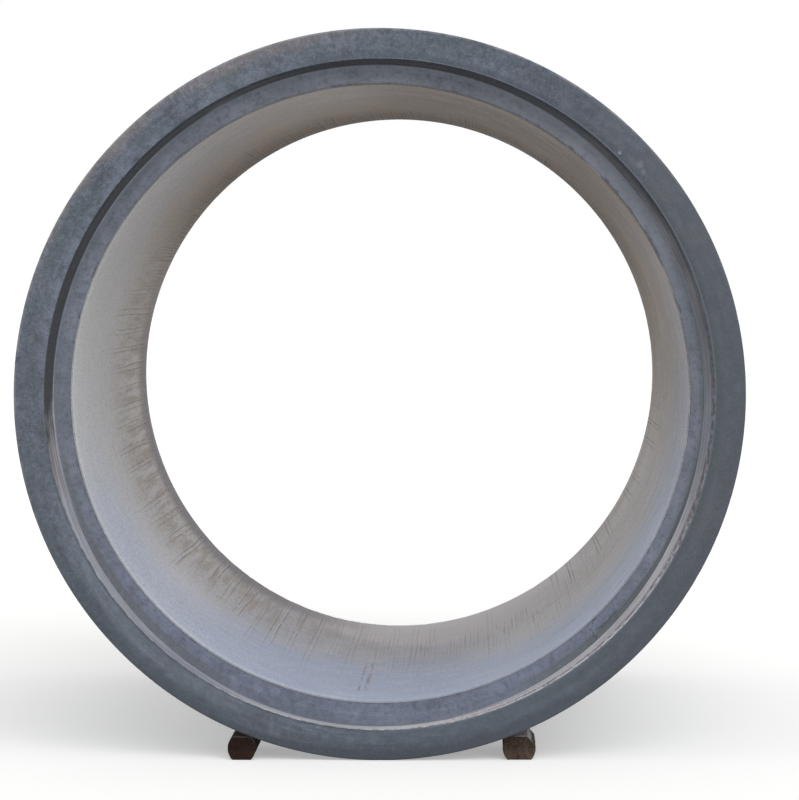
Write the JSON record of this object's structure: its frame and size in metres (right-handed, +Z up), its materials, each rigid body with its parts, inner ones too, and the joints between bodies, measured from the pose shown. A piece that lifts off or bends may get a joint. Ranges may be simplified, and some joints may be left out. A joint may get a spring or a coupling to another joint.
{
  "type": "concrete sewer pipe",
  "caption": "Large precast concrete sewer pipe with tongue and groove ends, lying between short timber chocks.",
  "frame": {"origin": "on the ground, below the middle of the pipe", "axes": "+Y along the pipe from its groove end to its tongue end, +Z up"},
  "size_m": [2.1496, 2.5464, 2.15],
  "materials": {
    "concrete": "smooth cast, matt",
    "timber": "sawn, weathered"
  },
  "bodies": {
    "root": {"pipe": "concrete", "left_chock": "timber", "right_chock": "timber"}
  },
  "joints": []
}
